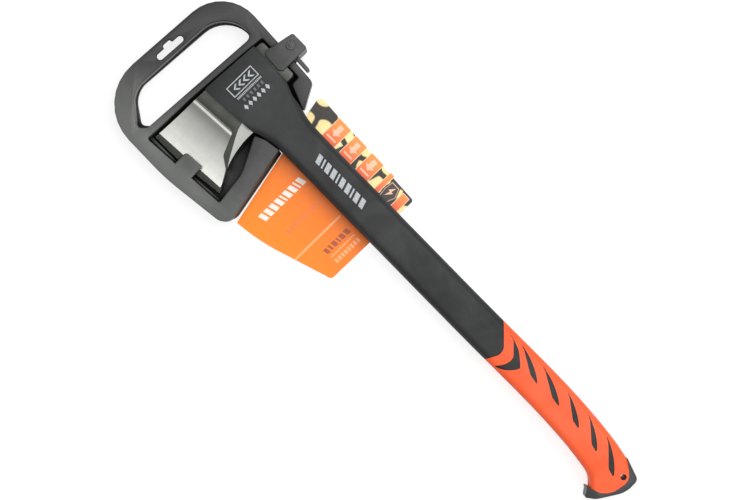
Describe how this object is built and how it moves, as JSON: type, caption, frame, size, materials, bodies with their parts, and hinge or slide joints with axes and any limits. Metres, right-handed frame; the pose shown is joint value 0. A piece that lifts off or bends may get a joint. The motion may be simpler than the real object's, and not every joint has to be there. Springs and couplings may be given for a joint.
{
  "type": "splitting axe in sheath",
  "caption": "Short-handled splitting axe with hollow nylon handle and soft grip, in a moulded carry sheath with a turning latch over the poll.",
  "frame": {"origin": "centre of the lanyard hole, on the axe's middle plane", "axes": "+X runs up the handle towards the head, +Y points to the cutting edge, +Z faces up out of the open side of the sheath, along the lanyard hole"},
  "size_m": [0.6668, 0.1968, 0.041],
  "materials": {
    "head_steel": "ground and lacquered",
    "handle_nylon": "fine spark texture",
    "grip_rubber": "matt soft-touch",
    "cap_rubber": "matt",
    "sheath_plastic": "satin moulded",
    "latch_plastic": "satin moulded",
    "pin_plastic": "satin",
    "card_board": "printed and coated card",
    "pad_foam": "foam tape"
  },
  "bodies": {
    "axe": {"axe_head": "head_steel", "handle_body": "handle_nylon", "grip_sleeve": "grip_rubber", "butt_cap": "cap_rubber", "sheath_shell": "sheath_plastic", "latch_pin": "pin_plastic", "retail_card": "card_board", "card_pad": "pad_foam"},
    "latch": {"latch_clip": "latch_plastic"}
  },
  "joints": [
    {"name": "latch_swing", "type": "hinge", "parent": "axe", "child": "latch", "pos_m": [0.5523, -0.0651, 0], "axis": [0, 0, 1], "range_deg": [0, 95]}
  ]
}
